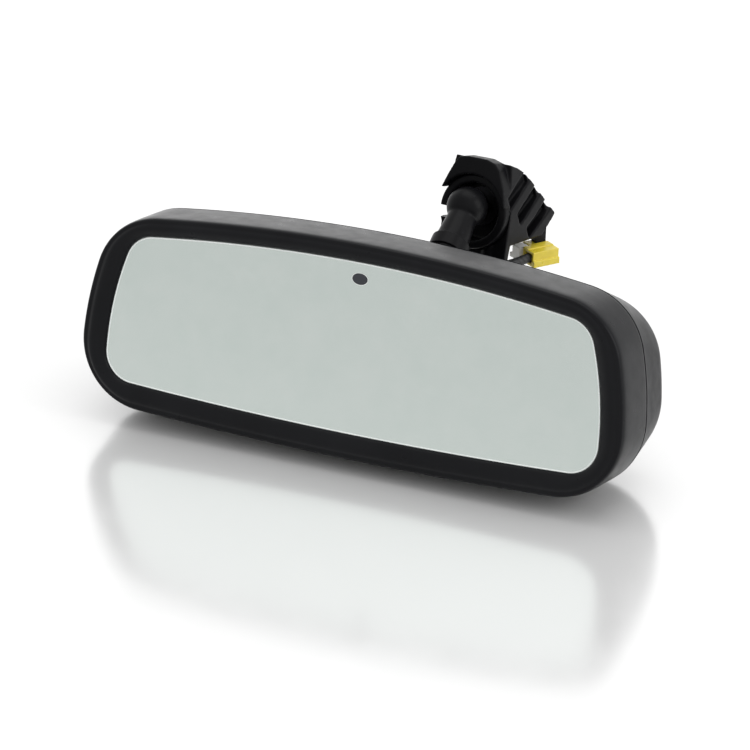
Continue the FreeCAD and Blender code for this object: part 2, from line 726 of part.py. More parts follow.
def make_arm():
    neck = body("arm_neck")
    profile = sketch(neck, "XZ_Plane")
    dome = size("dome_rad")
    slim = size("neck_rad")
    neck_at = math.sqrt(dome * dome - slim * slim) - 0.3
    elbow = size("elbow_at")
    tube = size("tube_rad")
    start = size("collar_start")
    closed(profile, [(0, neck_at), (slim, neck_at), (slim + 0.1, neck_at + 2.4),
                     (slim + 0.8, start - 2.0), (tube - 0.1, start), (tube, start + 3.0),
                     (tube, elbow), (0, elbow)])
    revolve(neck, profile)
    bend = in_neck(sphere("arm_elbow", "tube_rad", (0, 0, 0)))
    straight = in_neck(cylinder("arm_straight", "tube_rad", "tube_end - 6", (0, 0, 0), (0, 0, 1)))
    taper = in_neck(cone("arm_taper", "tube_rad", "tube_rad - 1.8", 6.0, (0, 0, size("tube_end") - 6.0),
                         (0, 0, 1)))
    outer = sphere("arm_dome", "dome_rad", (0, 0, 0))
    hollow = sphere("arm_hollow", "stud_ball_rad + 2 * shell_gap + liner_thick", (0, 0, 0))
    reach = 20.0
    wide = reach * math.tan(math.radians(size("dome_opening_angle")))
    way = (STUD_WAY.x, STUD_WAY.y, STUD_WAY.z)
    mouth = cone("arm_mouth", 0, wide, reach, (0, 0, 0), way)
    wire_way = cylinder("arm_wire_way", "harness_bore", elbow, (0, 0, 0), (0, 0, 1))
    turn_way = in_neck(sphere("arm_turn_way", "harness_bore", (0, 0, 0)))
    tube_way = in_neck(cylinder("arm_tube_way", "harness_bore", 30.0, (0, 0, 0), (0, 0, 1)))
    plug_bore = in_neck(cylinder("arm_plug_bore", "tail_rad + 0.05", 14.0,
                                 (0, 0, size("tube_end") - 14.0), (0, 0, 1)))
    solid = join("arm_tube", neck, outer, bend, straight, taper)
    keep(cut("arm_tube", solid, hollow, mouth, wire_way, turn_way, tube_way, plug_bore),
         "arm_tube", NECK)

    ring = cylinder("collar_ring", "collar_rad", "collar_long", (0, 0, start), (0, 0, 1))
    room = cylinder("collar_room", "tube_rad + 0.02", "collar_long", (0, 0, start), (0, 0, 1))
    keep(cut("arm_collar", ring, room), "arm_collar", NECK)

    tail_from = size("tube_end") - 14.0
    ball = sphere("head_ball", "ball_rad", (0, 0, ARM_LONG))
    tail = cylinder("ball_tail", "tail_rad", ARM_LONG - tail_from, (0, 0, tail_from), (0, 0, 1))
    bore = cylinder("ball_bore", "harness_bore", ARM_LONG + 12.0, (0, 0, 0), (0, 0, 1))
    keep(cut("ball_stud", join("ball_stud", ball, tail), bore), "ball_stud", ARM)
    elbow_spot = Vector(0, 0, 0)
    inner_end = Vector(0, 0, ARM_LONG - 1.5)
    neck_end = arm_in_head.inverse().multVec(UPPER_BALL + NECK_AXIS * 9.0)
    made = doc.addObject("Part::Feature", "arm_harness_solid")
    made.Shape = make_tube([neck_end, elbow_spot, inner_end], size("harness_rad"))
    keep(made, "arm_harness", ARM)
    keep(shell("upper_liner", "stud_ball_rad + shell_gap", "liner_thick", way,
               size("dome_opening_angle")), "upper_liner", NECK)


# ------------------------------------------------------------------ windscreen mount
def make_bracket():
    made = body("mount_bracket")
    side = sketch(made, "YZ_Plane")
    closed(side, [(4.0, -20.5), (7.6, -20.5), (8.6, -12.8), (36.5, -9.6), (46.2, 0.3),
                  (SLOPE_TOP.y, SLOPE_TOP.z), (16.6, 19.2), (11.0, 21.3), (4.0, 22.9)])
    pad(made, side, "2 * flank_half", both=True)
    doc.recompute()
    for way in (-1, 1):
        draft = sketch(made, "XZ_Plane")
        closed(draft, [(way * 13.6, 26.0), (way * 17.2, -2.0), (way * 21.0, -2.0), (way * 21.0, 26.0)])
        pocket(made, draft, 60.0, reverse=False)
    drum = sketch(made, "XZ_Plane", -(size("ring_long")))
    circle(drum, 0, 0, "ring_rad")
    pad(made, drum, 5.0, reverse=True)
    hood = sketch(made, "XZ_Plane", 3.0)
    closed(hood, [(-15.6, 8.4), (-13.2, 14.6), (-10.2, 21.0), (-8.4, 23.2), (-5.4, 24.0), (5.0, 24.2),
                  (9.4, 23.0), (12.0, 20.4), (15.4, 12.0), (17.2, 4.4), (12.0, 4.4), (9.0, 10.4),
                  (0, 13.6), (-8.4, 10.4), (-11.0, 8.4)])
    pad(made, hood, 8.0, reverse=True)
    boss = sketch(made, "XY_Plane", -20.5)
    circle(boss, size("wire_way_along"), size("wire_way_deep"), 4.4)
    pad(made, boss, 8.5)
    doc.recompute()
    recess = sketch(made, "XZ_Plane", 4.0)
    circle(recess, 0, 0, size("ring_rad") - size("ring_wide"))
    pocket(made, recess, size("recess_depth") + 4.0, reverse=False)
    seat = sketch(made, "XZ_Plane", 4.0)
    circle(seat, 0, 0, "ring_rad + 0.05")
    pocket(made, seat, size("ring_long") + 4.0, reverse=False)
    return made


def cut_bracket(made):
    """Cuts the tool slot, the fins, the button's bore, the screw hole and the wiring way."""
    notch = sketch(made, "YZ_Plane", -24.0)
    low = -size("ring_slot")
    closed(notch, [(-6.0, low), (16.5, low), (16.5, 0.1), (-6.0, 0.1)])
    pocket(made, notch, 24.0 - 9.2, reverse=True)
    for way in (-1, 1):
        for near, far, floor in ((0.0, size("slot_long"), size("slot_floor")),
                                 (size("slot_long") - 1.0, 30.0, size("notch_floor"))):
            fins = sketch(made, "YZ_Plane", way * 24.0)
            for index in range(3):
                closed(fins, slot_corners(index, near, far))
            pocket(made, fins, 24.0 - floor, reverse=way < 0)
    doc.recompute()
    bore = cylinder("button_bore", "button_rad", "button_depth",
                    BUTTON - SLOPE_OUT * size("button_depth"), SLOPE_OUT)
    bore_over = cylinder("button_over", "button_rad", 12.0, BUTTON, SLOPE_OUT)
    screw_way = cylinder("screw_way", "set_screw_rad + 0.05", 30.0, set_screw_foot(), (0, 0, 1))
    wire_way = cylinder("wire_way", "sleeve_rad + 0.2", 14.0,
                        (size("wire_way_along"), size("wire_way_deep"), -22.0), (0, 0, 1))
    return cut("mount_bracket", made, bore, bore_over, screw_way, wire_way)


def slot_corners(index, near, far):
    """A stretch of one slot between two fins, measured from its root towards the slope."""
    root = Vector(2.8, 5.4, 0) + Vector(10.0, -6.5, 0) * index
    rise = math.radians(size("slot_rise"))
    along = Vector(math.cos(rise), math.sin(rise), 0)
    across = Vector(-along.y, along.x, 0) * (size("slot_wide") / 2)
    start = root + along * near
    end = root + along * far
    ends = (start - across, start + across, end + across, end - across)
    return [(point.x, point.y) for point in ends]


def set_screw_foot():
    return (0.0, BUTTON.y + 1.0, -16.0)


def make_mount():
    made = make_bracket()
    doc.recompute()
    keep(cut_bracket(made), "mount_bracket", MOUNT)

    ring = body("retaining_ring")
    profile = sketch(ring, "XZ_Plane")
    circle(profile, 0, 0, "ring_rad")
    circle(profile, 0, 0, size("ring_rad") - size("ring_wide"))
    pad(ring, profile, "ring_long", reverse=True)
    doc.recompute()
    gap = sketch(ring, "XZ_Plane", 2.0)
    low = -size("ring_slot")
    closed(gap, [(-20.0, low), (-9.0, low), (-9.0, 0.1), (-20.0, 0.1)])
    pocket(ring, gap, 12.0, reverse=False)
    opened = ring.Tip
    face = ["Edge%d" % (i + 1) for i, edge in enumerate(opened.Shape.Edges)
            if edge.BoundBox.YMax < 0.01 and edge.Length > 20.0]
    soft = ring.newObject("PartDesign::Fillet", "ring_round")
    soft.Base = (opened, face)
    soft.Radius = 1.1
    ring.Tip = soft
    keep(ring, "retaining_ring", MOUNT)

    ball_at = (0, -size("stud_forward"), size("stud_height"))
    foot = size("recess_depth")
    ball = sphere("stud_ball", "stud_ball_rad", ball_at)
    neck = cylinder("stud_neck", "stud_neck_rad", foot + size("stud_forward"), ball_at, (0, 1, 0))
    flange = cylinder("stud_flange", 8.5, 2.0, (0, foot - 2.0, size("stud_height")), (0, 1, 0))
    wire_bore = cylinder("stud_bore", 1.5, 30.0, (0, -15.0, size("stud_height")), (0, 1, 0))
    keep(cut("mount_ball_stud", join("mount_ball_stud", ball, neck, flange), wire_bore),
         "mount_ball_stud", MOUNT)

    screw_low = -9.0
    screw_top = BUTTON.z - 10.5
    grub = cylinder("grub", "set_screw_rad", screw_top - screw_low,
                    (0, set_screw_foot()[1], screw_low), (0, 0, 1))
    socket = cylinder("grub_socket", 1.2, 3.0, (0, set_screw_foot()[1], screw_low - 0.5), (0, 0, 1))
    keep(cut("set_screw", grub, socket), "set_screw", MOUNT)


# ------------------------------------------------------------------ wiring connector
plug_turn = turn_z(-33.7) * turn_x(7.5) * Rotation(Vector(0, 1, 0), 6.0)
plug_in_head = Placement(mount_in_head.multVec(Vector(19.7, 25.5, -16.4)), plug_turn)
PLUG = HEAD.multiply(plug_in_head)


def make_connector():
    """The plug hangs under the bracket: X to its right edge, Y along it, Z up to its top face."""
    wide = size("plug_wide")
    tall = size("plug_tall")
    wall = size("plug_wall")
    long = size("plug_long")
    block = box("plug_block", "plug_wide", "plug_long", "plug_tall", (-wide, 0, -tall))
    flange = box("plug_flange", 0.9, "plug_long", "flange_tall", (0, 0, -tall))
    rib = box("plug_rib", 4.6, "plug_long", 0.35, (-9.0, 0, 0))
    hollow = box("plug_hollow", wide - 2 * wall, long * 0.55, tall - 2 * wall,
                 (-wide + wall, long * 0.45, -tall + wall))
    entry = box("plug_entry", 5.4, 3.0, tall - 2 * wall, (-6.6, 0, -tall + wall))
    lock_way = box("plug_lock_way", 5.8, 3.6, tall + 1.0, (-wide, 0, -tall - 0.5))
    keep(cut("connector_housing", join("plug", block, flange, rib), hollow, entry, lock_way),
         "connector_housing", PLUG)
    lock_body = box("lock_body", 5.4, 5.4, tall - 0.6, (-wide + 0.2, -2.0, -tall + 0.4))
    lock_foot = box("lock_foot", 2.2, 4.2, 2.0, (-wide - 1.8, -2.0, -tall + 0.4))
    keep(join("connector_lock", lock_body, lock_foot), "connector_lock", PLUG)
    pins = []
    for row in range(2):
        for column in range(5):
            pins.append(box("terminal", 0.7, 7.0, 0.7,
                            (-wide + 2.4 + 2.2 * column, long * 0.45 - 1.5, -tall + 1.9 + 2.0 * row)))
    keep(group("connector_terminals", *pins), "connector_terminals", PLUG)
    keep(box("connector_clip", 4.0, 5.0, 8.0, (-wide + 0.8, 7.6, -0.4)), "connector_clip", PLUG)


def make_sleeve():
    """The taped wires run from the bracket's wiring way, under it, into the plug's front face."""
    radius = size("sleeve_rad")
    inlet = mount_in_head.inverse().multiply(plug_in_head)
    into = inlet.multVec(Vector(-3.9, 1.8, -3.4))
    before = inlet.multVec(Vector(-3.6, -7.5, -4.6))
    along = size("wire_way_along")
    deep = size("wire_way_deep")
    points = [Vector(along, deep, -12.0), Vector(along, deep + 0.4, -25.0), before, into]
    made = doc.addObject("Part::Feature", "harness_sleeve_solid")
    made.Shape = make_tube(points, radius)
    keep(made, "harness_sleeve", MOUNT)
    ring = cylinder("grommet_outer", "sleeve_rad + 1.6", 2.4, (along, deep, -22.9), (0, 0, 1))
    hole = cylinder("grommet_hole", "sleeve_rad + 0.02", 6.0, (along, deep, -24.0), (0, 0, 1))
    keep(cut("harness_grommet", ring, hole), "harness_grommet", MOUNT)


make_bezel()
make_rear_housing()
make_glass()
make_bus_clips()
make_electronics()
make_head_socket()
make_arm()
make_mount()
make_connector()
make_sleeve()
doc.recompute()

# ------------------------------------------------------------------ checks and files
for obj in doc.Objects:
    assert "Invalid" not in obj.State and "Error" not in obj.State, (obj.Name, obj.State)
os.makedirs("parts", exist_ok=True)
for node in NODES:
    shape = node.Shape
    assert not shape.isNull() and shape.isValid() and shape.Volume > 0, node.Label
    shape.exportStep("parts/%s.step" % node.Label)
    print("%-20s solids %2d volume %9.1f" % (node.Label, len(shape.Solids), shape.Volume))
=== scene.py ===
import json
import math

import bmesh
import bpy
from mathutils import Matrix, Vector


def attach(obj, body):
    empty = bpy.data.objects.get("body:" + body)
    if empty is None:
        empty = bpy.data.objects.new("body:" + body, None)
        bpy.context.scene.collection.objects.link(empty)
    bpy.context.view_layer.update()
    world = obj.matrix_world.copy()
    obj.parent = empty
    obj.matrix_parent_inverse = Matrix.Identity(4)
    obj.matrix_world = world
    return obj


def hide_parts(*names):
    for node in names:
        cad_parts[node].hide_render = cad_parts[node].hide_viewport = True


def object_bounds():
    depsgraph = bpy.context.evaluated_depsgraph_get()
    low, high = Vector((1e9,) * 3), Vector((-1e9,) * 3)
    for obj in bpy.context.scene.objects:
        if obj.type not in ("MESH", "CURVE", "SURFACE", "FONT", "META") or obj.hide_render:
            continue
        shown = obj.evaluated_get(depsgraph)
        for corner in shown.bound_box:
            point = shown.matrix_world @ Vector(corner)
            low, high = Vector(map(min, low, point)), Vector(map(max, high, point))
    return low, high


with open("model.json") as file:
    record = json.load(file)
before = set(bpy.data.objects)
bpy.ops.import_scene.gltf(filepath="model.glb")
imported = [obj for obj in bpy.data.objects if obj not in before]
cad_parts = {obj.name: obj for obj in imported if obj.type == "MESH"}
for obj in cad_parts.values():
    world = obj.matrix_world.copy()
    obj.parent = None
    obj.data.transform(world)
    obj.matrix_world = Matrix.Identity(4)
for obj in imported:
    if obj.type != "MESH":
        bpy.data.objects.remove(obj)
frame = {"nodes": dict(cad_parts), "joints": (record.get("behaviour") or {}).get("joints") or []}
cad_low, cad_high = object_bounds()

# Looks for an interior rearview mirror. Lengths are in metres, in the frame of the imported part.
# The head's own axes are read from its ball joint, and its pieces are drawn in them, in millimetres.
# The mount's, arm's and connector's pieces are softened copies of the CAD nodes.

MM = 0.001
JOINTS = {joint["name"]: joint for joint in frame["joints"]}

# ------------------------------------------------------------------ the head's frame
SOCKET = Vector((0, 38.0, -6.0)) * MM      # the lower ball's centre in the head's frame


def local_frame(axis_x, axis_z, ball, ball_local):
    """A frame from its X and Z axes and a ball whose place in the frame is known."""
    x = Vector(axis_x).normalized()
    z = Vector(axis_z).normalized()
    turn = Matrix((x, z.cross(x), z)).transposed()
    origin = Vector(ball) - turn @ ball_local
    return Matrix.Translation(origin) @ turn.to_4x4()


HEAD = local_frame(JOINTS["lower_pitch"]["axis"], JOINTS["lower_yaw"]["axis"],
                   JOINTS["lower_yaw"]["pos_m"], SOCKET)


# ------------------------------------------------------------------ material helpers
def material(name):
    made = bpy.data.materials.new(name)
    made.use_nodes = True
    return made, made.node_tree, made.node_tree.nodes["Principled BSDF"]


def node(tree, kind, **inputs):
    """A node with its plain inputs set; input names use underscores for spaces."""
    made = tree.nodes.new(kind)
    for key, value in inputs.items():
        made.inputs[key.replace("_", " ")].default_value = value
    return made


def noise(tree, scale, detail=4.0, roughness=0.55):
    coords = tree.nodes.get("coords") or tree.nodes.new("ShaderNodeTexCoord")
    coords.name = "coords"
    made = node(tree, "ShaderNodeTexNoise", Scale=scale, Detail=detail, Roughness=roughness)
    tree.links.new(coords.outputs["Object"], made.inputs["Vector"])
    return made.outputs["Fac"]


def spread(tree, value, low, high, start=0.3, end=0.7):
    """Maps a noise value to a range."""
    made = node(tree, "ShaderNodeMapRange", From_Min=start, From_Max=end, To_Min=low, To_Max=high)
    tree.links.new(value, made.inputs["Value"])
    return made.outputs["Result"]


def mix_colours(tree, factor, first, second):
    made = tree.nodes.new("ShaderNodeMix")
    made.data_type = "RGBA"
    for socket, colour in ((made.inputs[6], first), (made.inputs[7], second)):
        if isinstance(colour, tuple):
            socket.default_value = (*colour, 1.0)
        else:
            tree.links.new(colour, socket)
    tree.links.new(factor, made.inputs[0])
    return made.outputs[2]


def bump(tree, shader, layers):
    """Adds noise bump layers: (height socket, depth in millimetres)."""
    normal = None
    for height, depth in layers:
        made = node(tree, "ShaderNodeBump", Strength=1.0, Distance=depth * MM)
        tree.links.new(height, made.inputs["Height"])
        if normal:
            tree.links.new(normal, made.inputs["Normal"])
        normal = made.outputs["Normal"]
    tree.links.new(normal, shader.inputs["Normal"])


def edge_wear(tree, low=0.53, high=0.60):
    """Near 1 on sharp convex edges, 0 elsewhere."""
    geometry = tree.nodes.new("ShaderNodeNewGeometry")
    return spread(tree, geometry.outputs["Pointiness"], 0.0, 1.0, low, high)


def moulded(name, dark, light, rough=(0.38, 0.5), grain=(5200.0, 0.012), wear=None, specular=0.5):
    """Moulded plastic: fine spark-eroded grain, slight colour drift, polished high spots and dust."""
    made, tree, shader = material(name)
    drift = mix_colours(tree, spread(tree, noise(tree, 38.0, 3.0), 0.0, 1.0), dark, light)
    if wear:
        drift = mix_colours(tree, edge_wear(tree), drift, wear)
    tree.links.new(drift, shader.inputs["Base Color"])
    tree.links.new(spread(tree, noise(tree, 160.0, 5.0), *rough), shader.inputs["Roughness"])
    shader.inputs["Specular IOR Level"].default_value = specular
    bump(tree, shader, [(noise(tree, grain[0], 2.0), grain[1]), (noise(tree, 420.0, 3.0), 0.006)])
    return made


SCRATCH_SCALE = 1400.0


def metal(name, colour, rough):
    """Plated or drawn metal with fine scratches."""
    made, tree, shader = material(name)
    darker = tuple(part * 0.8 for part in colour)
    stain = spread(tree, noise(tree, 210.0, 5.0), 0.0, 1.0)
    tree.links.new(mix_colours(tree, stain, colour, darker), shader.inputs["Base Color"])
    scuffs = spread(tree, noise(tree, SCRATCH_SCALE, 3.0), rough, rough + 0.18)
    tree.links.new(scuffs, shader.inputs["Roughness"])
    shader.inputs["Metallic"].default_value = 1.0
    bump(tree, shader, [(noise(tree, SCRATCH_SCALE, 2.0), 0.004)])
    return made


def clear(name, colour, rough):
    made, tree, shader = material(name)
    shader.inputs["Base Color"].default_value = (*colour, 1.0)
    shader.inputs["Transmission Weight"].default_value = 0.85
    shader.inputs["IOR"].default_value = 1.49
    tree.links.new(spread(tree, noise(tree, 300.0), rough, rough + 0.06), shader.inputs["Roughness"])
    return made


def mirror_coating():
    """The reflective glass: pale green grey, faint haze and dust, hardly any bump."""
    made, tree, shader = material("mirror_coating")
    haze = spread(tree, noise(tree, 55.0, 6.0, 0.7), 0.0, 1.0)
    speck = spread(tree, noise(tree, 900.0, 3.0), 0.0, 0.35, 0.55, 0.75)
    base = mix_colours(tree, haze, (0.505, 0.558, 0.532), (0.535, 0.580, 0.556))
    tree.links.new(mix_colours(tree, speck, base, (0.495, 0.54, 0.515)), shader.inputs["Base Color"])
    shader.inputs["Metallic"].default_value = 1.0
    tree.links.new(spread(tree, noise(tree, 130.0, 5.0), 0.06, 0.12), shader.inputs["Roughness"])
    return made


def solder_mask():
    made, tree, shader = material("solder_mask")
    coords = tree.nodes.new("ShaderNodeTexCoord")
    tracks = node(tree, "ShaderNodeTexBrick", Scale=260.0, Mortar_Size=0.03)
    tracks.inputs["Color1"].default_value = (0.012, 0.12, 0.05, 1)
    tracks.inputs["Color2"].default_value = (0.02, 0.16, 0.07, 1)
    tracks.inputs["Mortar"].default_value = (0.05, 0.26, 0.12, 1)
    tree.links.new(coords.outputs["Object"], tracks.inputs["Vector"])
    tree.links.new(tracks.outputs["Color"], shader.inputs["Base Color"])
    tree.links.new(spread(tree, noise(tree, 300.0), 0.22, 0.36), shader.inputs["Roughness"])
    bump(tree, shader, [(tracks.outputs["Fac"], 0.02)])
    return made


def open_foam():
    made, tree, shader = material("open_foam")
    coords = tree.nodes.new("ShaderNodeTexCoord")
    cells = node(tree, "ShaderNodeTexVoronoi", Scale=1500.0)
    tree.links.new(coords.outputs["Object"], cells.inputs["Vector"])
    pores = spread(tree, cells.outputs["Distance"], 0.0, 1.0, 0.1, 0.7)
    tree.links.new(mix_colours(tree, pores, (0.02, 0.02, 0.02), (0.11, 0.11, 0.11)),
                   shader.inputs["Base Color"])
    shader.inputs["Roughness"].default_value = 0.95
    bump(tree, shader, [(pores, 0.3)])
    return made


def taped_sleeve():
    """Black loom tape wound round the wires."""
    made, tree, shader = material("taped_sleeve")
    coords = tree.nodes.new("ShaderNodeTexCoord")
    turns = node(tree, "ShaderNodeTexWave", Scale=190.0, Distortion=1.5)
    turns.bands_direction = "DIAGONAL"
    tree.links.new(coords.outputs["Object"], turns.inputs["Vector"])
    tree.links.new(mix_colours(tree, turns.outputs["Fac"], (0.010, 0.010, 0.011), (0.026, 0.026, 0.028)),
                   shader.inputs["Base Color"])
    tree.links.new(spread(tree, noise(tree, 500.0), 0.45, 0.7), shader.inputs["Roughness"])
    bump(tree, shader, [(turns.outputs["Fac"], 0.12), (noise(tree, 3000.0), 0.02)])
    return made


def yellow_nylon():
    """The connector: glossy yellow nylon, a little paler where it is worn."""
    made, tree, shader = material("yellow_nylon")
    drift = spread(tree, noise(tree, 180.0, 4.0), 0.0, 1.0)
    colour = mix_colours(tree, drift, (0.60, 0.47, 0.026), (0.68, 0.55, 0.045))
    tree.links.new(mix_colours(tree, edge_wear(tree, 0.52, 0.58), colour, (0.76, 0.66, 0.16)),
                   shader.inputs["Base Color"])
    tree.links.new(spread(tree, noise(tree, 260.0), 0.26, 0.42), shader.inputs["Roughness"])
    shader.inputs["Subsurface Weight"].default_value = 0.15
    shader.inputs["Subsurface Radius"].default_value = (0.002, 0.0014, 0.0004)
    bump(tree, shader, [(noise(tree, 1500.0), 0.01)])
    return made


BLACK_FRONT = moulded("satin_black_bezel", (0.0036, 0.0038, 0.0048), (0.0060, 0.0063, 0.0076),
                      rough=(0.27, 0.35), grain=(4200.0, 0.006), wear=(0.016, 0.016, 0.018), specular=0.12)
BLACK_REAR = moulded("satin_black_housing", (0.0055, 0.0055, 0.0066), (0.0085, 0.0085, 0.0098),
                     rough=(0.30, 0.40), grain=(3200.0, 0.010), wear=(0.018, 0.018, 0.020), specular=0.10)
BLACK_MOUNT = moulded("glass_filled_nylon", (0.0028, 0.0028, 0.0034), (0.0050, 0.0050, 0.0058),
                      rough=(0.30, 0.44), grain=(2600.0, 0.012), wear=(0.010, 0.010, 0.012), specular=0.07)
BLACK_ARM = moulded("arm_plastic", (0.0034, 0.0034, 0.0040), (0.0058, 0.0058, 0.0066),
                    rough=(0.28, 0.40), grain=(3000.0, 0.010), wear=(0.010, 0.010, 0.012), specular=0.08)
INNER = moulded("inner_plastic_grey", (0.05, 0.05, 0.05), (0.075, 0.075, 0.075))
WHITE = moulded("natural_white_nylon", (0.66, 0.65, 0.60), (0.76, 0.75, 0.71), rough=(0.35, 0.5),
                wear=(0.84, 0.83, 0.80))
MIRROR = mirror_coating()
# Near-white painted highlight for the bright line just inside the glass opening and round the sensor window.
EDGE_HIGHLIGHT = moulded("painted_edge_highlight", (0.80, 0.84, 0.82), (0.88, 0.91, 0.89), rough=(0.2, 0.3))
WINDOW = moulded("sensor_window_black", (0.010, 0.012, 0.018), (0.018, 0.021, 0.030), rough=(0.08, 0.16),
                 grain=(5200.0, 0.001))
SEAL = moulded("dark_rubber_seal", (0.04, 0.04, 0.04), (0.06, 0.06, 0.06), rough=(0.7, 0.9))
ZINC = metal("zinc_plate", (0.52, 0.53, 0.56), 0.25)
SPRING = metal("oiled_spring_steel", (0.20, 0.20, 0.22), 0.3)
# Painted shade: the mount's ball stud is plated steel, painted near black for the shade it sits in inside the
# mount's socket.
STUD_SHADE_DARK = metal("stud_painted_shade_steel", (0.020, 0.020, 0.022), 0.35)
BRASS = metal("tin_and_gold_plate", (0.74, 0.58, 0.28), 0.22)
ALUMINIUM = metal("drawn_aluminium", (0.76, 0.76, 0.78), 0.25)
TAPE = taped_sleeve()
YELLOW = yellow_nylon()

NODE_LOOKS = {
    "bezel": BLACK_FRONT, "rear_housing": BLACK_REAR, "front_glass": MIRROR, "rear_glass": MIRROR,
    "ec_seal": SEAL, "ec_gel": clear("ec_gel_clear", (0.85, 0.88, 0.78), 0.02), "foam_pad": open_foam(),
    "glass_carrier": INNER, "bus_clip_upper": BRASS, "bus_clip_lower": BRASS,
    "circuit_board": solder_mask(), "light_pipe": clear("smoked_clear", (0.25, 0.25, 0.27), 0.05),
    "glare_sensor": WINDOW, "control_chip": WINDOW, "capacitors": ALUMINIUM, "ambient_sensor": WINDOW,
    "ambient_lens": clear("smoked_lens", (0.22, 0.22, 0.25), 0.04), "board_header": WHITE,
    "board_plug": WHITE, "board_screws": ZINC, "board_spacers": INNER, "pivot_plate": ZINC,
    "pivot_screws": ZINC, "head_wires": TAPE, "ball_cup": WHITE, "cup_band": SPRING,
    "arm_tube": BLACK_ARM, "arm_collar": BLACK_ARM, "ball_stud": ZINC, "arm_harness": TAPE,
    "upper_liner": WHITE, "mount_bracket": BLACK_MOUNT, "retaining_ring": BLACK_MOUNT,
    # The mount's ball stud wears the painted-shade dark steel.
    "mount_ball_stud": STUD_SHADE_DARK, "set_screw": SPRING, "connector_housing": YELLOW, "connector_lock": WHITE,
    "connector_terminals": BRASS, "connector_clip": BLACK_MOUNT, "harness_sleeve": TAPE,
    "harness_grommet": SEAL,
}
for name, look in NODE_LOOKS.items():
    mesh = frame["nodes"][name].data
    mesh.materials.clear()
    mesh.materials.append(look)


# ------------------------------------------------------------------ mesh helpers
def new_piece(name, points, faces, look, body, smooth=True):
    """A mesh piece from points in the row frame, riding on a body."""
    mesh = bpy.data.meshes.new(name)
    mesh.from_pydata([tuple(point) for point in points], [], faces)
    mesh.validate()
    tidy = bmesh.new()
    tidy.from_mesh(mesh)
    bmesh.ops.recalc_face_normals(tidy, faces=tidy.faces)
    tidy.to_mesh(mesh)
    tidy.free()
    mesh.materials.append(look)
    made = bpy.data.objects.new(name, mesh)
    bpy.context.scene.collection.objects.link(made)
    if smooth:
        mesh.polygons.foreach_set("use_smooth", [True] * len(mesh.polygons))
    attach(made, body)
    return made


def apply_modifiers(made):
    """Bakes an object's modifiers into its mesh."""
    depsgraph = bpy.context.evaluated_depsgraph_get()
    mesh = bpy.data.meshes.new_from_object(made.evaluated_get(depsgraph))
    made.modifiers.clear()
    made.data = mesh


def softened(name, source, voxel, passes, look, body, slot):
    """A copy of a CAD node with its hard edges worn soft, as moulded plastic has them."""
    made = bpy.data.objects.new(name, frame["nodes"][source].data.copy())
    bpy.context.scene.collection.objects.link(made)
    made.data.materials.clear()
    made.data.materials.append(look)
    weld = made.modifiers.new("weld", "WELD")
    weld.merge_threshold = 0.00001
    remesh = made.modifiers.new("remesh", "REMESH")
    remesh.mode = "VOXEL"
    remesh.voxel_size = voxel * MM
    soft = made.modifiers.new("soft", "SMOOTH")
    soft.iterations = passes
    soft.factor = 0.5
    apply_modifiers(made)
    made.data.polygons.foreach_set("use_smooth", [True] * len(made.data.polygons))
    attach(made, body)
    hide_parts(source)
    return made


# ------------------------------------------------------------------ the head's outline
HALF_TOP, HALF_BOTTOM, HALF_TALL = 105.1, 114.1, 32.1     # the glass opening, in millimetres
BULGE = {"top": 7.3, "bottom": 3.3, "side": 3.8}
GLASS_CORNER = 13.5
RIM_CORNER = 31.0
RIM = {"side": 11.57, "top": 8.78, "bottom": 11.18}      # 0.02 to 0.03 mm inside the CAD's rim
CORNER_STEPS = 26
SIDE_STEPS = 72
END_STEPS = 26


def arc_circle(start, end, bulge):
    """Centre and radius of the arc that joins two corners and bows outward."""
    chord = end - start
    half = chord.length / 2
    radius = (half * half + bulge * bulge) / (2 * bulge)
    out = Vector((chord.y, -chord.x)).normalized()
    return (start + end) / 2 - out * (radius - bulge), radius


def crossing(centre1, reach1, centre2, reach2, near):
    gap = centre2 - centre1
    span = gap.length
    along = (reach1 ** 2 - reach2 ** 2 + span ** 2) / (2 * span)
    across = math.sqrt(reach1 ** 2 - along ** 2)
    gap.normalize()
    normal = Vector((-gap.y, gap.x))
    options = [centre1 + gap * along + normal * across, centre1 + gap * along - normal * across]
    return min(options, key=lambda point: (point - near).length)


def arc_points(centre, radius, start, end, steps):
    """Points along the shorter arc from one point towards another, without the last."""
    first = math.atan2(start.y - centre.y, start.x - centre.x)
    turn = math.atan2(end.y - centre.y, end.x - centre.x) - first
    turn = (turn + math.pi) % (2 * math.pi) - math.pi
    angles = [first + turn * step / steps for step in range(steps)]
    return [centre + Vector((math.cos(angle), math.sin(angle))) * radius for angle in angles]


def outline(side, top, bottom, corner):
    """The head's rounded outline, grown from the glass opening, as points in the head's X and Z."""
    low_left, low_right = Vector((-HALF_BOTTOM, -HALF_TALL)), Vector((HALF_BOTTOM, -HALF_TALL))
    top_right, top_left = Vector((HALF_TOP, HALF_TALL)), Vector((-HALF_TOP, HALF_TALL))
    sides = [(arc_circle(low_left, low_right, BULGE["bottom"]), bottom, SIDE_STEPS),
             (arc_circle(low_right, top_right, BULGE["side"]), side, END_STEPS),
             (arc_circle(top_right, top_left, BULGE["top"]), top, SIDE_STEPS),
             (arc_circle(top_left, low_left, BULGE["side"]), side, END_STEPS)]
    sides = [(centre, radius + grow, steps) for (centre, radius), grow, steps in sides]
    sharp = (low_right, top_right, top_left, low_left)
    corners = [crossing(here[0], here[1] - corner, there[0], there[1] - corner, point)
               for here, there, point in zip(sides, sides[1:] + sides[:1], sharp)]
    points = []
    for index, (centre, radius, steps) in enumerate(sides):
        start = centre + (corners[index - 1] - centre).normalized() * radius
        end = centre + (corners[index] - centre).normalized() * radius
        points += arc_points(centre, radius, start, end, steps)
        after_centre, after_radius = sides[(index + 1) % 4][:2]
        leave = after_centre + (corners[index] - after_centre).normalized() * after_radius
        points += arc_points(corners[index], corner, end, leave, CORNER_STEPS)
    return points


